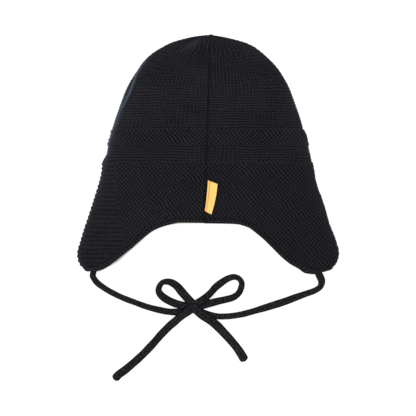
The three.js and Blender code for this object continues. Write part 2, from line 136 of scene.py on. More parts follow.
# Half of each cross-section as points at even shares of its length, for closely spaced heights.
# The heights are spaced by the square root of the distance down, which makes the crown round.
KEY_STEP = 0.01
keys = np.arange(0, math.sqrt(HAT_LENGTH) + KEY_STEP, KEY_STEP)
width, top, shoulder, under, fold = (
    monotone_curve(np.sqrt(SECTIONS[:, 0]), SECTIONS[:, i])(keys)[:, None] for i in range(1, 6)
)
tip = np.clip((TIP_HEIGHT - HAT_LENGTH + keys**2) / TIP_HEIGHT, 0, 1)[:, None]
width = width - TIP_INSET * (1 - np.sqrt(1 - tip**2))
fold = np.maximum(np.minimum(fold, width), 1e-3)
widest = under + FOLD_HEIGHT * (shoulder - under)
turn = np.linspace(0, np.pi, 241)[None]
section_x = width * np.sin(turn)
inwards = width - section_x
above = np.sqrt(1 - (1 - np.clip(inwards / fold, 0, 1)) ** 2)
below = np.sqrt(1 - (1 - np.clip(inwards / (UNDER_FOLD * fold), 0, 1)) ** 2)
section_z = np.where(
    turn <= np.pi / 2,
    widest + (shoulder - widest) * above + (top - shoulder) * (1 - np.sin(turn) ** 2),
    widest - (widest - under) * below,
)
steps = np.hypot(np.diff(section_x, axis=1), np.diff(section_z, axis=1))
section_lengths = np.concatenate([np.zeros((len(keys), 1)), np.cumsum(steps, axis=1)], axis=1)
half_rounds = section_lengths[:, -1]
SHARES = 600
shares = np.linspace(0, 1, SHARES + 1)
even_x, even_z = (
    np.array([np.interp(shares * h, s, v) for h, s, v in zip(half_rounds, section_lengths, values)])
    for values in (section_x, section_z)
)


def seam_x(y):
    """The seam's X, as it leans a little across the back."""
    return SEAM_AT_HEM + (SEAM_AT_CROWN - SEAM_AT_HEM) * (y - HEM_Y) / (CROWN_Y - HEM_Y)


def smooth_surface(around, y):
    """Points of the smooth outer surface. around is 0 at the seam and -1 and 1 at the front."""
    key = np.sqrt(np.clip(CROWN_Y - y, 0, HAT_LENGTH)) / KEY_STEP
    low = np.clip(key.astype(int), 0, len(keys) - 2)
    rest = key - low
    half = half_rounds[low] * (1 - rest) + half_rounds[low + 1] * rest
    lean = np.minimum(1, half / 40) * seam_x(y) * (1 - np.abs(around))
    place = around * half + lean
    share = np.clip(np.abs(place) / np.maximum(half, 1e-6), 0, 1) * SHARES
    left = np.clip(share.astype(int), 0, SHARES - 1)
    part = share - left
    x, z = (
        (values[low, left] * (1 - part) + values[low, left + 1] * part) * (1 - rest)
        + (values[low + 1, left] * (1 - part) + values[low + 1, left + 1] * part) * rest
        for values in (even_x, even_z)
    )
    return np.stack([np.sign(place) * x, y, z], axis=-1)


def outward(around, y):
    """Outward directions of the smooth surface."""
    low = np.maximum(y - 0.4, -CROWN_Y)
    high = np.minimum(y + 0.4, CROWN_Y - 0.01)
    ahead = smooth_surface(np.minimum(around + 0.01, 1), y)
    behind = smooth_surface(np.maximum(around - 0.01, -1), y)
    up = smooth_surface(around, high) - smooth_surface(around, low)
    direction = np.cross(ahead - behind, up)
    return direction / np.maximum(np.linalg.norm(direction, axis=-1), 1e-9)[..., None]


def plain_stitches(wale, course, loose=0.3):
    """Height, 0 to 1, of plain knitting: each stitch is a V, its two legs side by side.

    Where it is loose, 0 to 1, the columns of legs show more than the rows."""
    across = wale % 1
    leg = np.abs(np.sin(2 * np.pi * across)) ** 0.8
    slant = course + 0.3 * np.abs(2 * across - 1)
    row = 0.5 + 0.5 * np.cos(2 * np.pi * slant)
    legs = 0.45 - 0.4 * loose + (0.55 + 0.4 * loose) * leg
    rows = 0.15 + 0.55 * loose + (0.85 - 0.55 * loose) * row
    return legs * rows


def garter_stitches(wale, course, loose, ridged):
    """Height, 0 to 1, of garter stitch: loops set half a stitch apart, or plain ridges of them."""
    ridge = course / 2
    falling = 0.5 + 0.5 * np.cos(2 * np.pi * (wale - ridge))
    rising = 0.5 + 0.5 * np.cos(2 * np.pi * (wale + ridge))
    share = 0.26 + 0.3 * loose
    loops = (falling * (1 - share) + rising * share) ** 1.3
    ridges = 0.5 - 0.5 * np.cos(2 * np.pi * ridge)
    return loops * (1 - ridged) + ridges * ridged


def garter_share(y):
    """0 where the hat is plain knitting and 1 where it is garter stitch."""
    changes = ((1, UPPER_BAND[0]), (-1, UPPER_BAND[1]), (1, BRIM_START))
    return sum(sign * smooth_step((edge - y) / GARTER_STEP + 0.5) for sign, edge in changes)


PLAIN_DEPTH = 0.65  # from crest to hollow
GARTER_DEPTH = 0.9
CHAIN_WIDTH = 3.4  # the edge ends in a row of chain stitches
CHAIN_STITCH = 3.1
RIM_BULGE = 0.35  # how far the open edge is rounded out downwards
SEAM_WIDTH = 1.3
SEAM_CLOSED = 96  # Y above which the seam can't be seen
SEAM_STITCHES = 2.6  # from the seam to the stitches that stand up beside it
SEAM_STITCH_WIDTH = 0.9
CROWN_LOOSE = 47  # Y above which the crown's columns open up
CROWN_PUCKER = 0.6  # how far the seam's end stands out at the tip
RIGHT_GLOW = 0.07  # painted sheen along the right side's outline
# A faint sheen on the puckered knitting beside the tip: its middle, its direction and its half sizes
TIP_SHEEN = 0.22
TIP_SHEEN_PLACE = (-13, 99)
TIP_SHEEN_LEAN = (0.83, 0.55)
TIP_SHEEN_SIZE = (8, 2.6)
# Shade: below the upper band, towards the brim's right side, and in a dent left of the seam
LOWER_SHADE = 0.07
RIGHT_SHADE = 0.11
DENT_SHADE = 0.3
DENT_PLACE = (-5, 89)
DENT_SIZE = (6, 9)
# Down the left side: Y, how far inside the outline the ridge of the fold runs, how bright the painted
# sheen on it is, and how bright the painted glow between it and the outline is
LEFT_FOLD = np.array([
    (95, 0.6, 0, 0), (89, 0.8, 0.1, 0.05), (81, 1.8, 0.4, 0.25), (72, 1.9, 0.9, 0.15),
    (63, 4.2, 0.9, 0.08), (54, 4.8, 0.9, 0.18), (45, 3.6, 0.7, 0.45), (36, 1.4, 0.7, 0.45),
    (27, 0.9, 0.55, 0.45), (18, 0.9, 0.8, 0.3), (9, 0.8, 0.8, 0.2), (0, 0.6, 0.45, 0.2),
    (-9, 0.5, 0.15, 0.12), (-20, 0.5, 0.06, 0.05), (-107, 0.5, 0.05, 0.04),
])
LINE_WIDTH = 0.85  # the shining ridge's
GLOW_WIDTH = 6  # the painted glow's
# How far the side folds stand out past the smooth shape: Y, then left and right
FOLD_SLACK = np.array([
    (107, 0, 0), (100, 0.1, 0.5), (96, -0.2, 0.4), (91.8, 0.1, -0.5), (86.4, 0.5, -0.8),
    (81, 0.45, -0.45), (75.6, 0, -0.3), (64.8, -0.1, -0.55), (54, 0.2, -0.25), (27, -0.1, -0.3),
    (21.6, 0.2, -0.6), (16.2, -0.4, 0.4), (10.8, 0.3, 0.3), (0, -0.3, 0.4), (-6.5, 1.7, 0.2),
    (-11, 0.7, -0.1), (-16, 0, -0.3), (-21.6, -0.2, -1), (-32.4, 0.1, -0.9), (-37.8, 0.4, 0),
    (-48.6, 0.1, 0), (-59.4, -0.3, -0.7), (-64.8, -0.2, -0.7), (-72, -0.2, 0.2), (-78, -0.3, 0.7),
    (-86, -0.8, 0.3), (-92, -0.9, -0.1), (-97, -0.55, -0.2), (-108, -0.3, -0.4),
])
# How far the flaps' lower ends are pushed up, or drawn down by the cord: X and the distance
FLAP_TIPS = np.array([
    (-113, 0), (-108, 0.8), (-105.5, 1.3), (-102, 0.3), (-99, 0), (83, 0), (90, -0.7), (95, -1.4),
    (100, -0.6), (103, 0.2), (108, 1), (112, 1.3), (116, 0),
])
TIPS_FROM = -97.0  # Y where that begins
# Where the left flap's garter stitch turns from loops to plain ridges: Y and X
RIDGED_EDGE = np.array([(-107, -84), (-92, -78), (-78, -75), (-64, -77), (-45, -80), (-8, -82)])


def half_round(y):
    """The way from the middle of the back to the middle of the front at a height."""
    return np.interp(np.sqrt(np.clip(CROWN_Y - y, 0, None)), keys, half_rounds)


def width_at(y):
    """Half the hat's width at a height."""
    return np.interp(np.sqrt(np.clip(CROWN_Y - y, 0, None)), keys, width[:, 0])


def back_share(around):
    """1 on the back and the side folds, 0 on the front, which is pressed flat underneath."""
    return 1 - smooth_step((np.abs(around) - 0.52) / 0.08)


def from_table(table, column, y):
    """A value at a height from a table whose rows go down from the crown."""
    return np.interp(y, table[::-1, 0], table[::-1, column])


def drift(u, v, start):
    """A smooth wandering between about -1 and 1 over the plane of u and v."""
    waves = ((0.9, 0.53, 0.4), (-0.47, 0.81, 2.1), (1.7, -1.1, 4.4), (0.31, 2.3, 1.2), (1.3, 1.9, 5.2))
    return sum(np.sin(a * u + b * v + phase + start) for a, b, phase in waves) / 2.6


def knitted_relief(around, y, wale, course):
    """How far the knitting stands out from the smooth surface, the measures of its finish, and its painted
    sheen and shade.
    """
    garter = garter_share(y)
    half = half_round(y)
    x = smooth_surface(around, y)[..., 0]
    loose = 0.38 + 0.36 * drift(x / 9, y / 7, 0) + 0.6 * smooth_step((y - CROWN_LOOSE) / 22)
    loose = np.clip(loose, 0, 1)
    ridged = 0.85 * smooth_step((np.interp(y, RIDGED_EDGE[:, 0], RIDGED_EDGE[:, 1]) - x) / 9 + 0.5)
    stitches = PLAIN_DEPTH * (plain_stitches(wale, course, loose) - 0.4) * (1 - garter)
    stitches = stitches + GARTER_DEPTH * (garter_stitches(wale, course, loose, ridged) - 0.4) * garter
    fine = smooth_step(half / 80)
    from_seam = np.abs(around) * half
    # The seam's groove: it sets the knitting's depth there and the painted shade in it
    seam = peak(from_seam, SEAM_WIDTH) * smooth_step((SEAM_CLOSED - y) / 18)
    seam = seam * (0.72 + 0.28 * np.sin(y / 2.3) * np.sin(y / 7.1 + 1))
    beside = peak(from_seam - SEAM_STITCHES, SEAM_STITCH_WIDTH)
    groove = SEAM_DEPTH * seam - 0.35 * beside
    outline = width_at(y)
    inside = outline + x
    line, shine, glow = (from_table(LEFT_FOLD, column, y) for column in (1, 2, 3))
    ridge = peak(inside - line, LINE_WIDTH)
    glow = glow * (1 - smooth_step(inside / GLOW_WIDTH))
    right = RIGHT_GLOW * (1 - smooth_step((outline - x) / 1.5))
    sheen_x, sheen_y = x - TIP_SHEEN_PLACE[0], y - TIP_SHEEN_PLACE[1]
    lengthwise = TIP_SHEEN_LEAN[0] * sheen_x + TIP_SHEEN_LEAN[1] * sheen_y
    sideways = TIP_SHEEN_LEAN[0] * sheen_y - TIP_SHEEN_LEAN[1] * sheen_x
    tip_sheen = TIP_SHEEN * peak(lengthwise, TIP_SHEEN_SIZE[0]) * peak(sideways, TIP_SHEEN_SIZE[1])
    # Painted sheen where light catches the fuzz: on the left fold's ridge, between it and the outline,
    # along the right outline and beside the tip
    painted_sheen = np.maximum(shine * ridge, glow) + right + tip_sheen
    crease = shine * smooth_step(line - 1) * (0.8 * ridge - 0.5 * peak(inside - line - 3, 2))
    slack = 0.45 * np.sin(x / 19 + 1.3) * np.sin(y / 27 + 0.6 + x / 61)
    stands_out = np.where(x < 0, from_table(FOLD_SLACK, 1, y), from_table(FOLD_SLACK, 2, y))
    stands_out = stands_out * smooth_step((np.abs(x) / np.maximum(outline, 1) - 0.82) / 0.14)
    pucker = CROWN_PUCKER * peak(x - SEAM_AT_CROWN, 2.6) * smooth_step((y - 100) / 5)
    lumps = (slack + crease) * smooth_step(half / 60) + stands_out + pucker
    free = back_share(around)
    relief = (GARTER_RELIEF * garter + stitches * fine + lumps - groove) * free
    shade = LOWER_SHADE * smooth_step((8 - y) / 5)
    shade = shade + RIGHT_SHADE * smooth_step((x - 5) / 50) * smooth_step((BRIM_START - y) / 12)
    dent = peak(x - DENT_PLACE[0], DENT_SIZE[0]) * peak(y - DENT_PLACE[1], DENT_SIZE[1])
    measures = {
        "garter": garter,
        "loose": loose,
        "ridged": ridged,
        "painted_sheen": painted_sheen * (1 - smooth_step((np.abs(around) - 0.5) / 0.03)),
        # painted shade in the seam's groove, lighter on the stitches beside it
        "seam": np.clip(seam - 0.25 * beside, 0, 1) * free,
        "shadow": shade + DENT_SHADE * dent,
    }
    return relief, measures


def open_edge(around):
    """Y of the open edge, by the share of the way round."""
    left = monotone_curve(OPEN_EDGE[:, 0], OPEN_EDGE[:, 1])(np.abs(around))
    right = monotone_curve(OPEN_EDGE[:, 0], OPEN_EDGE[:, 2])(np.abs(around))
    return np.where(around < 0, left, right)


def edge_chain(around, y):
    """The row of chain stitches along the open edge: its share at a place, its height there and the
    strength of the painted shade of a groove beside it, which the mesh doesn't have."""
    ends = open_edge(around)
    length_round = around * half_round(ends)
    slope = np.gradient(ends, length_round)
    along = np.cumsum(np.hypot(1, slope) * np.gradient(length_round))
    above = y - ends
    from_edge = above / np.hypot(1, slope)
    foot = along + above * slope / np.hypot(1, slope)
    share = 1 - smooth_step((from_edge - 0.8 * CHAIN_WIDTH) / (0.4 * CHAIN_WIDTH))
    across = np.sin(np.pi * np.clip(from_edge / CHAIN_WIDTH, 0, 1)) ** 0.5
    slanted = foot / CHAIN_STITCH + 0.4 * from_edge / CHAIN_WIDTH
    height = (0.74 + 0.62 * np.cos(2 * np.pi * slanted)) * across
    # Painted shade of a groove just above the chain; only the colour has it
    groove = peak(from_edge - 1.3 * CHAIN_WIDTH, 0.7)
    return share, height, groove


# Columns of mesh points: six to a stitch on the back, few underneath
half_columns = np.r_[
    np.linspace(0, 0.02, 9)[:-1], np.linspace(0.02, 0.61, 180), np.linspace(0.61, 1, 15)[1:]
]
columns = np.concatenate([-half_columns[:0:-1], half_columns])
CROWN_ROW = PLAIN_COURSE / 5
LOWER_ROW = GARTER_COURSE / 4
DECREASES_FROM = 84  # Y
UNEVEN = 0.18  # how far the stitches stray from their places, in stitches


def crown_rows():
    """Heights of the crown's rows, which are rings round its tip and straighten further down."""
    fine_y = CROWN_Y - np.linspace(0, math.sqrt(CROWN_Y - UPPER_BAND[0]), 1200) ** 2
    ring = smooth_surface(*np.meshgrid(columns, fine_y))
    steps = np.linalg.norm(np.diff(ring, axis=0), axis=2)
    walked = np.concatenate([np.zeros((1, len(columns))), np.cumsum(steps, axis=0)])
    middle = walked[:, len(columns) // 2]
    depths = np.linspace(0, middle[-1], round(middle[-1] / CROWN_ROW) + 1)
    straight = np.interp(depths, middle, fine_y)[:, None]
    rings = np.stack([np.interp(depths, walked[:, i], fine_y) for i in range(len(columns))], axis=1)
    share = smooth_step(depths / 70)[:, None]
    return rings * (1 - share) + straight * share, depths


def with_decreases(wale, y):
    """The crown's stitches: towards its tip each second column narrows away beside the one before it."""
    narrowed = smooth_step((y - DECREASES_FROM) / 10)
    wide = 0.5 + 0.48 * narrowed
    pair = np.floor(wale / 2)
    across = wale / 2 - pair
    second = 1 + (1 - narrowed) * (across - wide) / (1 - wide)
    return 2 * pair + np.where(across < wide, across / wide, second)


def shaped_grid(name, places, stitches, **measures):
    """A grid whose corners are moved to places, an array of rows of points, and then welded.

    stitches is its UV map, and each measure becomes an attribute of that name."""
    rows, columns = places.shape[:2]
    bpy.ops.object.select_all(action="DESELECT")
    bpy.ops.mesh.primitive_grid_add(x_subdivisions=columns - 1, y_subdivisions=rows - 1, size=1)
    piece = bpy.context.object
    mesh = piece.data
    piece.name = mesh.name = name
    start = np.empty(3 * len(mesh.vertices))
    mesh.vertices.foreach_get("co", start)
    start = start.reshape(-1, 3)
    column = np.rint((start[:, 0] + 0.5) * (columns - 1)).astype(int)
    row = np.rint((0.5 - start[:, 1]) * (rows - 1)).astype(int)
    mesh.vertices.foreach_set("co", places[row, column].ravel())
    corners = np.empty(len(mesh.loops), dtype=int)
    mesh.loops.foreach_get("vertex_index", corners)
    mesh.uv_layers.active.name = "stitches"
    mesh.uv_layers.active.data.foreach_set("uv", stitches[row, column][corners].ravel())
    for measure, values in measures.items():
        layer = mesh.attributes.new(measure, "FLOAT", "POINT")
        layer.data.foreach_set("value", values[row, column].astype(np.float32))
    bpy.ops.object.mode_set(mode="EDIT")
    bpy.ops.mesh.select_all(action="SELECT")
    bpy.ops.mesh.remove_doubles(threshold=1e-6)
    bpy.ops.mesh.normals_make_consistent(inside=False)
    bpy.ops.object.mode_set(mode="OBJECT")
    bpy.ops.object.shade_smooth()
    return piece


# The yarn's finish: near-black navy wool. Painted shade darkens the hollows between stitches, fine
# fibres blur the surface and shine a little at a glancing angle, and painted sheen brightens its fluff
# along the folds.
def new_group(name, inputs, outputs):
    """A shader node group with its group input and output nodes. A vector has None as its value."""
    group = bpy.data.node_groups.new(name, "ShaderNodeTree")
    for socket, value in inputs.items():
        kind = "NodeSocketVector" if value is None else "NodeSocketFloat"
        made = group.interface.new_socket(socket, in_out="INPUT", socket_type=kind)
        if value is not None:
            made.default_value = value
    for socket in outputs:
        group.interface.new_socket(socket, in_out="OUTPUT", socket_type="NodeSocketFloat")
    return group, group.nodes.new("NodeGroupInput"), group.nodes.new("NodeGroupOutput")


def feed(tree, socket, value):
    """Gives a node's input its value: a number, a colour or another node's output."""
    if isinstance(value, bpy.types.NodeSocket):
        tree.links.new(value, socket)
    elif isinstance(value, tuple):
        socket.default_value = (*value, 1)
    else:
        socket.default_value = value


def maths(tree, operation, *values):
    """The result of a Math node fed by values."""
    node = tree.nodes.new("ShaderNodeMath")
    node.operation = operation
    for socket, value in zip(node.inputs, values):
        feed(tree, socket, value)
    return node.outputs[0]


def blend(tree, share, first, second):
    """Two heights mixed by share."""
    mix = tree.nodes.new("ShaderNodeMix")
    for socket, value in zip((mix.inputs[0], mix.inputs[2], mix.inputs[3]), (share, first, second)):
        feed(tree, socket, value)
    return mix.outputs[0]


def wave(tree, phase):
    """0 to 1 and back over each whole number of phase, highest at the whole number."""
    turns = maths(tree, "MULTIPLY", phase, 2 * math.pi)
    return maths(tree, "MULTIPLY_ADD", maths(tree, "COSINE", turns), 0.5, 0.5)


def stitch_group():
    """Heights of plain and garter stitches from a map whose units are stitches.

    Garter is the share of garter stitch, Loose the share of columns over rows, and Ridged how far
    garter stitch shows as plain ridges."""
    inputs = {"Stitches": None, "Garter": 0.0, "Loose": 0.3, "Ridged": 0.0}
    group, given, result = new_group("knitted stitches", inputs, ["Height"])
    split = group.nodes.new("ShaderNodeSeparateXYZ")
    group.links.new(given.outputs["Stitches"], split.inputs[0])
    wale, course = split.outputs[0], split.outputs[1]
    loose = given.outputs["Loose"]
    across = maths(group, "FRACT", wale)
    off_middle = maths(group, "ABSOLUTE", maths(group, "MULTIPLY_ADD", across, 2, -1))
    legs = maths(group, "ABSOLUTE", maths(group, "SINE", maths(group, "MULTIPLY", across, 2 * math.pi)))
    row = wave(group, maths(group, "MULTIPLY_ADD", off_middle, 0.3, course))
    legs = blend(group, legs, maths(group, "MULTIPLY_ADD", loose, -0.4, 0.45), 1)
    row = blend(group, row, maths(group, "MULTIPLY_ADD", loose, 0.55, 0.02), 1.15)
    # The left leg of each stitch catches more light
    turned_away = maths(group, "MULTIPLY_ADD", loose, -0.65, 0.95)
    left_leg = blend(group, wave(group, maths(group, "SUBTRACT", across, 0.25)), turned_away, 1)
    plain = maths(group, "MULTIPLY", maths(group, "MULTIPLY", legs, row), left_leg)
    ridge = maths(group, "MULTIPLY", course, 0.5)
    falling = wave(group, maths(group, "SUBTRACT", wale, ridge))
    rising = wave(group, maths(group, "ADD", wale, ridge))
    loops = blend(group, maths(group, "MULTIPLY_ADD", loose, 0.3, 0.26), falling, rising)
    ridges = wave(group, maths(group, "SUBTRACT", ridge, 0.5))
    loops = blend(group, maths(group, "POWER", loops, 1.4), 0, 1.05)
    ridges = blend(group, ridges, 0.26, 0.61)
    garter = blend(group, given.outputs["Ridged"], loops, ridges)
    height = blend(group, given.outputs["Garter"], plain, garter)
    group.links.new(height, result.inputs["Height"])
    return group


def fibre_group():
    """Loose wool fibres: a fine height, a mottle from stitch to stitch and a slow change of shade."""
    outputs = ["Height", "Mottle", "Shade"]
    group, given, result = new_group("wool fibres", {"Fineness": 2600.0}, outputs)
    place = group.nodes.new("ShaderNodeTexCoord")

    def noise(scale, detail, roughness=0.5):
        node = group.nodes.new("ShaderNodeTexNoise")
        group.links.new(place.outputs["Object"], node.inputs["Vector"])
        feed(group, node.inputs["Scale"], scale)
        feed(group, node.inputs["Detail"], detail)
        feed(group, node.inputs["Roughness"], roughness)
        return node.outputs["Fac"]

    group.links.new(noise(given.outputs["Fineness"], 3, 0.7), result.inputs["Height"])
    group.links.new(noise(620, 1), result.inputs["Mottle"])
    group.links.new(noise(24, 2), result.inputs["Shade"])
    return group


STITCHES = stitch_group()
FIBRES = fibre_group()


def placed_group(tree, group):
    node = tree.nodes.new("ShaderNodeGroup")
    node.node_tree = group
    return node


def stitch_chart(tree):
    """The piece's UV map, whose units are stitches."""
    chart = tree.nodes.new("ShaderNodeUVMap")
    chart.uv_map = "stitches"
    return chart.outputs[0]


def point_measure(tree, attribute):
    node = tree.nodes.new("ShaderNodeAttribute")
    node.attribute_name = attribute
    return node.outputs["Fac"]


def tinted(tree, share, under, over):
    """The colours or colour sockets under and over, mixed by share."""
    mix = tree.nodes.new("ShaderNodeMix")
    mix.data_type = "RGBA"
    feed(tree, mix.inputs["Factor"], share)
    feed(tree, mix.inputs["A"], under)
    feed(tree, mix.inputs["B"], over)
    return mix.outputs["Result"]


def raised(tree, shader, height, strength, distance):
    """Bumps on the surface of a material, from a height."""
    bump = tree.nodes.new("ShaderNodeBump")
    feed(tree, bump.inputs["Strength"], strength)
    feed(tree, bump.inputs["Distance"], distance)
    feed(tree, bump.inputs["Height"], height)
    tree.links.new(bump.outputs[0], shader.inputs["Normal"])


def new_material(name):
    material = bpy.data.materials.new(name)
    material.use_nodes = True
    tree = material.node_tree
    return material, tree, tree.nodes["Principled BSDF"]


def set_inputs(node, values):
    for socket, value in values.items():
        node.inputs[socket].default_value = value


# The colour of the painted sheen where light catches the fluff
PAINTED_SHEEN_COLOUR = (0.068, 0.087, 0.119)
# The colour of the painted shade in the seam's groove
SEAM_GROOVE_SHADE_COLOUR = (0.004, 0.004, 0.0035)
SHADOW_COLOUR = (0.001, 0.001, 0)
BUMP_DEPTH = 0.0004  # metres


def navy_knit(name, hollow_shade, crest, mottling=1):
    """Navy yarn. crest is its colour on the stitches; hollow_shade is painted shade between them."""
    material, tree, shader = new_material(name)
    stitches = placed_group(tree, STITCHES)
    tree.links.new(stitch_chart(tree), stitches.inputs["Stitches"])
    garter = point_measure(tree, "garter")
    tree.links.new(garter, stitches.inputs["Garter"])
    for socket in ("Loose", "Ridged"):
        tree.links.new(point_measure(tree, socket.lower()), stitches.inputs[socket])
    fibres = placed_group(tree, FIBRES)
    shade = maths(tree, "MULTIPLY_ADD", fibres.outputs["Shade"], 0.35, -0.17)
    speckle = maths(tree, "MULTIPLY_ADD", fibres.outputs["Height"], 0.5, -0.25)
    chain = point_measure(tree, "chain")
    stitch = blend(tree, chain, stitches.outputs["Height"], point_measure(tree, "chain_height"))
    mottle = maths(tree, "MULTIPLY_ADD", fibres.outputs["Mottle"], 0.9, -0.45)
    mottle = maths(tree, "MULTIPLY", mottle, maths(tree, "MULTIPLY_ADD", garter, 0.1, mottling))
    uneven = maths(tree, "ADD", shade, maths(tree, "ADD", speckle, mottle))
    level = maths(tree, "ADD", stitch, uneven)
    # Painted shade: from the far darker colour between the stitches and the chain's stitches to the crest
    # colour on them
    yarn = tinted(tree, level, hollow_shade, crest)
    shine = maths(tree, "MULTIPLY_ADD", level, 0.5, 0.6)
    # Painted sheen, stronger on the stitches' crests
    yarn = tinted(tree, maths(tree, "MULTIPLY", point_measure(tree, "painted_sheen"), shine), yarn, PAINTED_SHEEN_COLOUR)
    # Painted shade in the seam's groove and in a groove above the edge chain
    yarn = tinted(tree, point_measure(tree, "seam"), yarn, SEAM_GROOVE_SHADE_COLOUR)
    yarn = tinted(tree, point_measure(tree, "shadow"), yarn, SHADOW_COLOUR)
    tree.links.new(yarn, shader.inputs["Base Color"])
    height = maths(tree, "MULTIPLY_ADD", fibres.outputs["Height"], 0.25, stitch)
    raised(tree, shader, height, 0.8, BUMP_DEPTH)
    set_inputs(shader, {"Roughness": 0.85, "Specular IOR Level": 0.08})
    set_inputs(shader, {"Sheen Weight": 0.035, "Sheen Roughness": 0.4, "Sheen Tint": (0.7, 0.8, 1, 1)})
    return material


def stand_in(piece, node, material):
    """The piece takes the place of a node of the part, in its own material."""
    piece.data.materials.append(material)
    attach(piece, "root")
    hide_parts(node)


def between(first, last, shares):
    """Rows of points at shares of the way from the first row to the last one."""
    return np.array([first * (1 - share) + last * share for share in shares])


def knitted_wall(name, outer_y, wale, course, inner_y, edge=None):
    """A closed wall of knitting: its outer face, the rim at its lower edge and its inner face."""
    around = np.broadcast_to(columns, outer_y.shape)
    wale, course = np.broadcast_arrays(wale, course)
    wale = wale + UNEVEN * drift(wale / 2, course / 2, 1)
    course = course + UNEVEN * drift(wale / 2, course / 2, 3)
    relief, measures = knitted_relief(around, outer_y, wale, course)
    chain, chain_height, groove = (0 * relief,) * 3 if edge is None else edge
    measures.update(chain=chain, chain_height=chain_height)
    free = back_share(around)
    # The chain's groove is only painted shade, joined to the seam's painted shade
    measures["seam"] = np.maximum(measures["seam"], 0.5 * groove * free)
    rolled = GARTER_RELIEF - 0.4 + 0.9 * chain_height
    relief = relief * (1 - chain * free) + rolled * chain * free
    direction = outward(around, outer_y)
    outer = smooth_surface(around, outer_y) + direction * relief[..., None]
    inner_around = np.broadcast_to(columns, inner_y.shape)
    inner = smooth_surface(inner_around, inner_y) - outward(inner_around, inner_y) * KNIT_WALL
    rim_shares = np.array((0.25, 0.5, 0.75))
    rim = between(outer[-1], inner[0], rim_shares)
    if edge is not None:
        rim[..., 1] -= RIM_BULGE * np.sin(np.pi * rim_shares)[:, None]
    places = np.concatenate([outer, rim, inner])
    near_tips = smooth_step((TIPS_FROM - places[..., 1]) / 10)
    places[..., 1] += np.interp(places[..., 0], FLAP_TIPS[:, 0], FLAP_TIPS[:, 1]) * near_tips
    places[:, -1] = places[:, 0]
    places[..., 2] = np.maximum(places[..., 2], 0)
    chart = np.stack([wale, course], axis=2)
    below = np.repeat(chart[-1:], 3 + len(inner), axis=0)
    below[:, :, 1] += np.arange(1, 4 + len(inner))[:, None] * 0.3
    chart = np.concatenate([chart, below])
    unseen = len(places) - len(relief)
    for measure, values in measures.items():
        values = np.broadcast_to(values, relief.shape)
        measures[measure] = np.concatenate([values, np.repeat(values[-1:], unseen, axis=0)])
    piece = shaped_grid(name, places / 1000, chart, **measures)
    stand_in(piece, "knitted_body", hat_yarn)


# Its first colour is the painted shade between the stitches
hat_yarn = navy_knit("navy hat yarn", (0.001, 0.0009, 0.0011), (0.0162, 0.0154, 0.0209))

crown_y, crown_depth = crown_rows()
crown_wale = with_decreases(columns * half_round(UPPER_BAND[0]) / STITCH_WIDTH, crown_y)
crown_course = ((crown_depth - crown_depth[-1]) / PLAIN_COURSE)[:, None]
knitted_wall("knitted_crown", crown_y, crown_wale, crown_course, crown_y[::-12])

lower_lines = np.arange(UPPER_BAND[0], -CROWN_Y - LOWER_ROW, -LOWER_ROW)[:, None]
lower_y = np.maximum(lower_lines, open_edge(columns)[None])
lower_wale = columns * half_round(lower_y) / STITCH_WIDTH
# Eight rows in the upper band, six in the plain one and then the brim's
FAR_BELOW = -150.0  # Y past every open edge
course_marks = [FAR_BELOW, BRIM_START, UPPER_BAND[1], UPPER_BAND[0]]
courses_there = [14 + (BRIM_START - FAR_BELOW) / GARTER_COURSE, 14, 8, 0]
lower_course = np.interp(lower_y, course_marks, courses_there)
lower_inside = between(lower_y[-1], UPPER_BAND[0], np.linspace(0, 1, 16))
chain = edge_chain(columns, lower_y)
knitted_wall("knitted_brim", lower_y, lower_wale, lower_course, lower_inside, chain)


# Lining
# Soft cream cotton jersey inside the whole hat, sewn to the knitting along the open edge. It shows
# at the hem and along the inner edge of the left flap.
LINING_WALL = 0.9  # millimetres, like the knitted body's sizes
LINING_GAP = 0.4
LINING_SLACK = 0.224
SEWN_LINE = 1.6  # from the edge
SEWN_LINE_HALF_WIDTH = 0.3
JERSEY_COLUMNS = 190  # on each half of the way round
JERSEY_COURSE = 1.1


def cream_jersey():
    material, tree, shader = new_material("cream jersey")
    stitches = placed_group(tree, STITCHES)
    tree.links.new(stitch_chart(tree), stitches.inputs["Stitches"])
    fibres = placed_group(tree, FIBRES)
    level = maths(tree, "MULTIPLY_ADD", stitches.outputs["Height"], 0.5, fibres.outputs["Shade"])
    # A darker cream between the stitches is painted shade and a lighter one is the crests, with a slow
    # random change of tone
    jersey = tinted(tree, level, (0.48, 0.455, 0.405), (0.66, 0.635, 0.58))
    off_line = maths(tree, "ABSOLUTE", maths(tree, "SUBTRACT", point_measure(tree, "from_edge"), SEWN_LINE))
    sewn = maths(tree, "MULTIPLY", maths(tree, "LESS_THAN", off_line, SEWN_LINE_HALF_WIDTH), 0.8)
    jersey = tinted(tree, sewn, jersey, (0.2, 0.19, 0.17))
    tree.links.new(jersey, shader.inputs["Base Color"])
    raised(tree, shader, level, 0.6, 0.0002)
    set_inputs(shader, {"Roughness": 0.9, "Sheen Weight": 0.2})
    return material


lining_columns = np.linspace(-1, 1, 281)
lining_around = lining_columns[None]
lining_lip = monotone_curve(OPEN_EDGE[:, 0], OPEN_EDGE[:, 3])(np.abs(lining_around))
lining_edge = open_edge(lining_around) - lining_lip
lining_share = np.linspace(0, 1, 120)[:, None]
lining_key = np.sqrt(CROWN_Y - lining_edge) * lining_share
lining_y = CROWN_Y - lining_key**2
lining_around = np.broadcast_to(lining_columns, lining_y.shape)
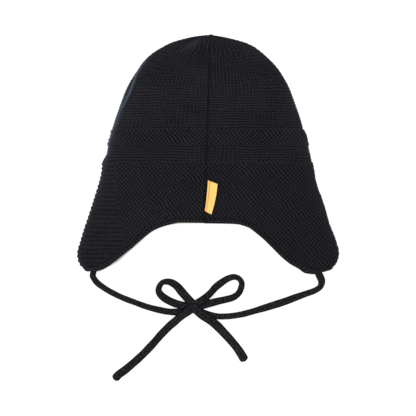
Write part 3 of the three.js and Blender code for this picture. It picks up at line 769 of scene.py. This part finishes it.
# The lining's outer face lies evenly on the knitting, and its inner face has a little slack
lining_slack = LINING_SLACK * np.sin(lining_around * 41) * np.sin(lining_y / 9)
lining_slack = lining_slack * smooth_step((CROWN_Y - lining_y) / 40)
lining_depth = KNIT_WALL + LINING_GAP
faces = [
    smooth_surface(lining_around, lining_y) - outward(lining_around, lining_y) * depth
    for depth in (lining_depth, (lining_depth + LINING_WALL + lining_slack)[..., None])
]
lining_rim = between(faces[0][-1], faces[1][-1], (0.33, 0.67))
lining_rim[..., 1] -= 0.25
lining_places = np.concatenate([faces[0], lining_rim, faces[1][::-1]])
lining_places[:, -1] = lining_places[:, 0]
lining_chart = [lining_around * JERSEY_COLUMNS, (CROWN_Y - lining_y) / JERSEY_COURSE]
lining_chart = np.stack(lining_chart, axis=2)
lining_chart, from_edge = (
    np.concatenate([values, values[-1:], values[-1:], values[::-1]])
    for values in (lining_chart, lining_y - lining_edge)
)
lining = shaped_grid("jersey_lining", lining_places / 1000, lining_chart, from_edge=from_edge)
stand_in(lining, "lining", cream_jersey())


# Label
# A yellow satin ribbon, folded in half and sewn into the back seam by its left edge, so that its
# fold stands free on the right. It is left blank, with a plain orange line along the sewn edge.

# X and Y of each long side's upper end, middle and lower end, in millimetres
LABEL_SEAM_SIDE = np.array([(-0.1, -23.9), (-1.1, -37.6), (-2.9, -51.3)])
LABEL_FREE_SIDE = np.array([(8.5, -27.2), (6.6, -40.8), (3, -54.4)])
LABEL_THICKNESS = 1.0  # of both layers
LABEL_GAP = 0.3  # over the knitting
LABEL_LIFT = 1.2  # how much higher its fold stands than its sewn edge
LABEL_FOLD = 0.93  # where its rounded fold starts, as a share of its width


def satin_ribbon():
    material, tree, shader = new_material("yellow satin")
    split = tree.nodes.new("ShaderNodeSeparateXYZ")
    tree.links.new(stitch_chart(tree), split.inputs[0])
    across, along = split.outputs[0], split.outputs[1]
    weft = wave(tree, maths(tree, "MULTIPLY", along, 96))
    warp = wave(tree, maths(tree, "MULTIPLY", across, 34))
    weave = maths(tree, "MULTIPLY", maths(tree, "ADD", weft, warp), 0.5)
    lit = maths(tree, "MULTIPLY_ADD", weave, 0.4, 0.45)
    satin = tinted(tree, lit, (0.6, 0.3, 0.035), (0.85, 0.51, 0.125))
    off_line = maths(tree, "ABSOLUTE", maths(tree, "SUBTRACT", across, 0.2))
    line = maths(tree, "MULTIPLY", maths(tree, "LESS_THAN", off_line, 0.06), 0.85)
    satin = tinted(tree, line, satin, (0.62, 0.14, 0.015))
    tree.links.new(satin, shader.inputs["Base Color"])
    raised(tree, shader, weave, 0.5, 0.0001)
    set_inputs(shader, {"Roughness": 0.42, "Sheen Weight": 0.3})
    return material


def through_three(points, t):
    """A parabola through three points, at the shares t."""
    a, b, c = (p[None] for p in points)
    t = t[:, None]
    return a * (1 - t) * (1 - 2 * t) + b * 4 * t * (1 - t) + c * t * (2 * t - 1)


label_along = np.linspace(0, 1, 49)
label_seam = through_three(LABEL_SEAM_SIDE, label_along)
label_free = through_three(LABEL_FREE_SIDE, label_along)
# Once round the folded ribbon's section: along its top to the fold and back along its underside
ribbon_across = np.concatenate([np.linspace(0, 1, 25), np.linspace(1, 0, 25)])
ribbon_side = np.concatenate([np.ones(25), np.zeros(25)])
ribbon_round = np.sqrt(np.clip(1 - ((ribbon_across - LABEL_FOLD) / (1 - LABEL_FOLD)) ** 2, 0, 1))
ribbon_round = np.where(ribbon_across > LABEL_FOLD, ribbon_round, 1)
ribbon_height = 0.5 + (ribbon_side - 0.5) * (0.72 + 0.28 * ribbon_across) * ribbon_round
to_fold = ribbon_across[:, None]
label_xy = label_seam[:, None] * (1 - to_fold) + label_free[:, None] * to_fold
label_around = (label_xy[..., 0] - seam_x(label_xy[..., 1])) / half_round(label_xy[..., 1])
label_stand = GARTER_RELIEF + LABEL_GAP + LABEL_THICKNESS * ribbon_height + LABEL_LIFT * ribbon_across**2
label_places = smooth_surface(label_around, label_xy[..., 1])
label_places[..., 2] += label_stand + 0.15 * np.sin(label_along * 7)[:, None] * ribbon_across
label_places = np.concatenate([label_places, label_places[:, :1]], axis=1)
ends = [np.broadcast_to(label_places[i].mean(axis=0), label_places[:1].shape) for i in (0, -1)]
label_places = np.concatenate([ends[0], label_places, ends[1]])
label_chart = np.stack(np.meshgrid(np.r_[ribbon_across, 0], np.r_[0, label_along, 1]), axis=2)
label = shaped_grid("ribbon_label", label_places / 1000, label_chart)
stand_in(label, "seam_label", satin_ribbon())


# Tie cords
# Two cords of knitted navy yarn, 5 mm thick, one knitted on to the tip of each flap. Each runs to
# the bow as a tie, turns back as a loop and ends in a tail, and its three stretches are made apart.
CORD_DIAMETER = 0.005  # metres, like all sizes here but the routes'
CORD_FLATTENING = 0.4  # how far its thickness gives way to its width
CORD_SIDES = 28
CORD_STEP = 0.00045  # between rings
CORD_WALES = 7  # columns of stitches round the cord
CORD_COURSE = 0.0019  # height of one stitch along the cord
CORD_STITCH_RELIEF = 0.00032
CORD_LOOSE = 0.7  # how far its columns show more than its rows
CORD_SIDE_SHADOW = 0.75  # its sides are darker than its top
CORD_FUZZ = 0.0002  # loose fibres thicken it by this all round
CORD_UNEVENNESS = 0.00009
CORD_ROUND_END = 0.0032  # length over which a free end closes
ABOVE_SURFACE = 0.00003  # each cord keeps at least this far above it

# The routes are the part's own, in millimetres, with the cord's width at each point. Only the
# tails' last points lie 2.5 mm further out, where their rounded ends close.
TIE_LEFT = [
    (-102.9, -103.4, 5.2, 5.2),  # inside the flap's tip
    (-103.6, -107.4, 4.8, 5.2), (-104, -109.8, 4, 5.2), (-102.7, -112.6, 3.1, 5),
    (-100.2, -115.9, 2.7, 5), (-95.9, -119.3, 2.6, 5), (-90.2, -123, 2.6, 5),
    (-82.9, -126.9, 2.6, 4.9), (-75.6, -130.2, 2.6, 4.8), (-66.6, -133.6, 2.6, 5),
    (-55.9, -137.5, 2.6, 5), (-45.1, -140.4, 2.6, 5.4), (-35.4, -142.2, 2.6, 5.6),
    (-26.8, -142.5, 2.6, 6), (-21.5, -142, 2.6, 6.4), (-16.3, -140.8, 2.8, 6.4),
]
TIE_RIGHT = [
    (98.9, -103.4, 5.2, 6.2),  # inside the flap's tip
    (99.7, -107.4, 4.8, 6.4), (101.1, -110.5, 3.9, 6.4), (102.6, -114.4, 3, 6),
    (101.5, -119.4, 2.6, 5), (96.7, -123, 2.6, 5.1), (89.3, -125.7, 2.6, 5.2),
    (80.3, -128.9, 2.6, 5.8), (69.6, -132.9, 2.6, 6.5), (56.9, -137, 2.6, 6.3),
    (43.3, -141.1, 2.6, 5.4), (31.7, -144.3, 2.6, 5.2), (19.8, -146.2, 2.6, 5),
    (9.9, -146.5, 2.6, 5.2), (2.9, -145.6, 2.6, 5.8), (-3.2, -143.7, 2.6, 6),
    (-9.2, -140.9, 2.8, 6),
]
LOOP_LEFT = [
    (-14.3, -134.4, 7.8, 7.2), (-17.7, -130.9, 7, 7.3), (-23.8, -124.1, 4.6, 7.3),
    (-27.9, -119.3, 3.2, 6.7), (-32.2, -116.3, 2.7, 6.4), (-36.2, -115.1, 2.6, 5.4),
    (-40.9, -115.7, 2.6, 4.4), (-43.9, -119.4, 2.6, 4.9), (-44.5, -123.5, 2.6, 5.4),
    (-42.6, -127, 2.6, 6.1), (-38.2, -130.6, 2.7, 6.8), (-32.2, -133.7, 3.1, 6.8),
    (-26.9, -135.6, 4, 6.8), (-21.4, -136.8, 4.9, 6.8), (-16.5, -137.3, 5.2, 6.6),
]
LOOP_RIGHT = [
    (-10.1, -134.4, 7.8, 6.4), (-6.9, -132.6, 7.7, 6.4), (-2.5, -129.6, 6.2, 6.2),
    (2.7, -124.8, 4.6, 6), (6.9, -120.1, 3.3, 6.2), (12.1, -116, 2.7, 6.1),
    (18, -112.3, 2.6, 5.4), (23.6, -110.8, 2.6, 4.9), (28.1, -112.4, 2.6, 4.6),
    (30.4, -115.9, 2.6, 4.9), (30, -120.2, 2.6, 5.2), (27.9, -125.1, 2.6, 5.1),
    (23.2, -129, 2.6, 5.6), (16.4, -131.1, 2.7, 5.9), (9.5, -132.6, 3.1, 6.3),
    (2.5, -134.4, 3.8, 6.4), (-3.5, -136.1, 4.4, 6.4), (-8.5, -137.3, 4.7, 6.4),
]
TAIL_LEFT = [
    (-13.5, -139, 8, 6.8), (-17.8, -141.8, 8.1, 6.8), (-21.5, -144.2, 7.6, 6.8),
    (-25.6, -147.2, 6, 6.8), (-29.6, -150.8, 4.2, 6.8), (-33.8, -154.3, 3, 6.8),
    (-41.8, -162.2, 2.6, 6.7), (-49.9, -171.4, 2.6, 6.7), (-58.5, -180.4, 2.6, 6.6),
    (-66.4, -187.7, 2.6, 6.8), (-75.5, -195.3, 2.6, 6.9), (-80.6, -199, 2.6, 7.1),
    (-84.9, -203.7, 2.6, 7.3),
]
TAIL_RIGHT = [
    (-12.3, -139, 8.2, 7.2), (-8.7, -142.2, 8.3, 7.4), (-4.9, -145.2, 7.8, 7.6),
    (0.5, -148.6, 6.2, 7.8), (5, -152.1, 4.4, 7.8), (9.1, -155.7, 3.1, 7.8),
    (12.5, -159.3, 2.6, 7.6), (19.3, -166.6, 2.6, 7.2), (25.5, -174, 2.6, 7.3),
    (30.4, -181.2, 2.6, 7.5), (33.6, -187, 2.6, 7.8),
]


def smooth_route(points):
    """A route in metres, one point each CORD_STEP, on a centripetal spline, and its widths."""
    corners = [np.array(p[:3]) / 1000 for p in points]
    corners = [2 * corners[0] - corners[1], *corners, 2 * corners[-1] - corners[-2]]
    shares = np.linspace(0, 1, 40, endpoint=False)
    dense = []
    for a, b, c, d in zip(corners, corners[1:], corners[2:], corners[3:]):
        ab, bc, cd = (math.sqrt(np.linalg.norm(q - p)) for p, q in ((a, b), (b, c), (c, d)))
        leave = ((b - a) / ab - (c - a) / (ab + bc) + (c - b) / bc) * bc
        arrive = ((c - b) / bc - (d - b) / (bc + cd) + (d - c) / cd) * bc
        for t in shares:
            rise = 3 * t**2 - 2 * t**3
            place = (1 - rise) * b + rise * c
            dense.append(place + (t**3 - 2 * t**2 + t) * leave + (t**3 - t**2) * arrive)
    dense = np.array([*dense, corners[-2]])
    places = np.linspace(0, len(points) - 1, len(dense))
    widths = np.interp(places, range(len(points)), [p[3] / 1000 for p in points])
    lengths = np.r_[0, np.cumsum(np.linalg.norm(np.diff(dense, axis=0), axis=1))]
    stops = np.linspace(0, lengths[-1], round(lengths[-1] / CORD_STEP) + 1)
    width = np.interp(stops, lengths, widths)
    route = np.stack([np.interp(stops, lengths, dense[:, i]) for i in range(3)], axis=1)
    thickness = CORD_DIAMETER * (CORD_DIAMETER / width) ** CORD_FLATTENING
    route[:, 2] += (thickness - CORD_DIAMETER) / 2
    return route, width, thickness


def cord_tube(name, points, ends_free):
    """A knitted cord along a route, and the route. A free end closes round."""
    route, width, thickness = smooth_route(points)
    along = np.arange(len(route)) * np.linalg.norm(route[1] - route[0])
    tangents = np.gradient(route, axis=0)
    tangents /= np.linalg.norm(tangents, axis=1)[:, None]
    sides = np.cross((0, 0, 1), tangents)
    sides /= np.linalg.norm(sides, axis=1)[:, None]
    ups = np.cross(tangents, sides)
    turn = np.linspace(0, 2 * np.pi, CORD_SIDES + 1)
    wale, course = np.meshgrid(turn * CORD_WALES / (2 * np.pi), along / CORD_COURSE)
    relief = CORD_FUZZ + CORD_STITCH_RELIEF * (plain_stitches(wale, course, CORD_LOOSE) - 0.5)
    uneven = np.sin(along * 310 + len(points)) * np.sin(along * 97)
    relief = relief + CORD_UNEVENNESS * uneven[:, None]
    reach = np.clip((along[-1] - along) / CORD_ROUND_END, 0, 1)
    closing = np.sqrt(1 - (1 - reach) ** 2) if ends_free else np.ones(len(route))
    sideways = (width[:, None] / 2 + relief) * closing[:, None] * np.cos(turn)
    upwards = (thickness[:, None] / 2 + relief) * closing[:, None] * np.sin(turn)
    places = route[:, None] + sideways[..., None] * sides[:, None] + upwards[..., None] * ups[:, None]
    places[:, -1] = places[:, 0]
    places[:, :, 2] = np.maximum(places[:, :, 2], ABOVE_SURFACE)
    caps = [np.broadcast_to(route[i], places[:1].shape) for i in (0, -1)]
    places = np.concatenate([caps[0], places, caps[1]])
    stitches = np.stack([wale, course], axis=2)
    stitches = np.concatenate([stitches[:1], stitches, stitches[-1:]])
    loose = np.full(stitches.shape[:2], CORD_LOOSE)
    at_sides = np.clip(2.6 * np.abs(np.cos(turn)) - 1.6, 0, 1)
    shadow = np.broadcast_to(CORD_SIDE_SHADOW * at_sides, loose.shape)
    return shaped_grid(name, places, stitches, loose=loose, shadow=shadow), route


# Its first colour is the painted shade between the stitches
cord_yarn = navy_knit("navy cord yarn", (0.001, 0.001, 0.001), (0.0188, 0.018, 0.0222), 2.8)


def finish_cord(name, points, far_end):
    piece, route = cord_tube(name + "_cord", points, far_end == "bare")
    stand_in(piece, name, cord_yarn)


# Bow knot
# The place where the bow is pulled tight: one turn of the cord goes round the strands that pass
# through the knot, and these swell on both sides of it.
KNOT_CENTRE = np.array((-12.6, -137.4, 5.75)) / 1000
KNOT_HALF_LENGTH = 0.0066  # metres
KNOT_CORE_RADIUS = 0.0043
WRAP_RADIUS = 0.0037  # to the middle of the turn of cord
WRAP_TURN = math.radians(14)  # the turn lies a little askew
KNOT_RELIEF = 0.00025
KNOT_WALES = 9
KNOT_STRAY = 0.0012  # how far the turn of cord strays along the knot


def knot_surface(turn, along):
    """Radius of the knot about its long axis: a core with strands in it, and a wrap round it."""
    core = KNOT_CORE_RADIUS * np.sqrt(np.clip(1 - np.abs(along) ** 2.6, 0, 1))
    strands = 1 + 0.1 * np.cos(4 * turn + 2 * along) * np.clip(np.abs(along) * 1.6, 0, 1)
    x = along * KNOT_HALF_LENGTH - KNOT_STRAY * np.sin(turn)
    half_width = CORD_DIAMETER / 2
    bulge = half_width * np.sqrt(np.clip(1 - (x / half_width) ** 2, 0, 1))
    return np.maximum(core * strands, np.where(bulge > 0, WRAP_RADIUS + bulge * 0.96, 0))


turns, alongs = np.meshgrid(np.linspace(0, 2 * np.pi, 65), np.sin(np.linspace(-np.pi / 2, np.pi / 2, 73)))
knot_wale = turns * KNOT_WALES / (2 * np.pi)
knot_course = alongs * KNOT_HALF_LENGTH / CORD_COURSE * 1.3
knot_radius = knot_surface(turns, alongs)
knot_relief = KNOT_RELIEF * (plain_stitches(knot_course * 0.8, knot_wale * 1.5) - 0.6)
knot_radius = knot_radius + knot_relief * (knot_radius > 0.001)
knot_places = [alongs * KNOT_HALF_LENGTH, knot_radius * np.cos(turns), knot_radius * np.sin(turns)]
askew = np.array(Matrix.Rotation(WRAP_TURN, 3, "Z"))
knot_places = np.stack(knot_places, axis=2) @ askew.T + KNOT_CENTRE
knot_places[0] = knot_places[0].mean(axis=0)
knot_places[-1] = knot_places[-1].mean(axis=0)
knot_places[:, -1] = knot_places[:, 0]
knot_places[:, :, 2] = np.maximum(knot_places[:, :, 2], 2 * ABOVE_SURFACE)
knot_loose = np.full(turns.shape, CORD_LOOSE)
knot_stitches = np.stack([knot_wale, knot_course], axis=2)
bow_knot = shaped_grid("bow_knot_turn", knot_places, knot_stitches, loose=knot_loose)
stand_in(bow_knot, "bow_knot", cord_yarn)

finish_cord("tie_left", TIE_LEFT, "knot")
finish_cord("tie_right", TIE_RIGHT, "knot")
finish_cord("bow_loop_left", LOOP_LEFT, "knot")
finish_cord("bow_loop_right", LOOP_RIGHT, "knot")
finish_cord("tail_left", TAIL_LEFT, "bare")
finish_cord("tail_right", TAIL_RIGHT, "bare")


# Floor and light
# A plain white surface, lit evenly by a white room. A large soft light hangs above, and a lower one
# on the left lights the left fold, where painted sheen also brightens the fluff.
bpy.ops.object.select_all(action="DESELECT")
bpy.ops.mesh.primitive_plane_add(size=12)
floor = bpy.context.object
floor.name = "floor"
floor_white, _, floor_shader = new_material("floor white")
set_inputs(floor_shader, {"Base Color": (0.3, 0.3, 0.3, 1), "Roughness": 0.9})
set_inputs(floor_shader, {"Emission Color": (1, 1, 1, 1), "Emission Strength": 0.78})
floor.data.materials.append(floor_white)

room = bpy.data.worlds.new("white room")
room.use_nodes = True
set_inputs(room.node_tree.nodes["Background"], {"Color": (1, 1, 1, 1), "Strength": 1.15})
bpy.context.scene.world = room
bpy.context.scene.view_settings.view_transform = "Standard"


def soft_light(name, place, size, power):
    """A square light at a place, turned towards the hat."""
    bpy.ops.object.light_add(type="AREA", location=place)
    lamp = bpy.context.object
    lamp.name = name
    lamp.data.size = size
    lamp.data.energy = power
    aim = Vector((0, 0, 0)) - Vector(place)
    lamp.rotation_euler = aim.to_track_quat("-Z", "Y").to_euler()


soft_light("overhead light", (0.1, 0.3, 1.6), 1.2, 9)
soft_light("left light", (-1.3, 0.25, 0.55), 0.8, 7)
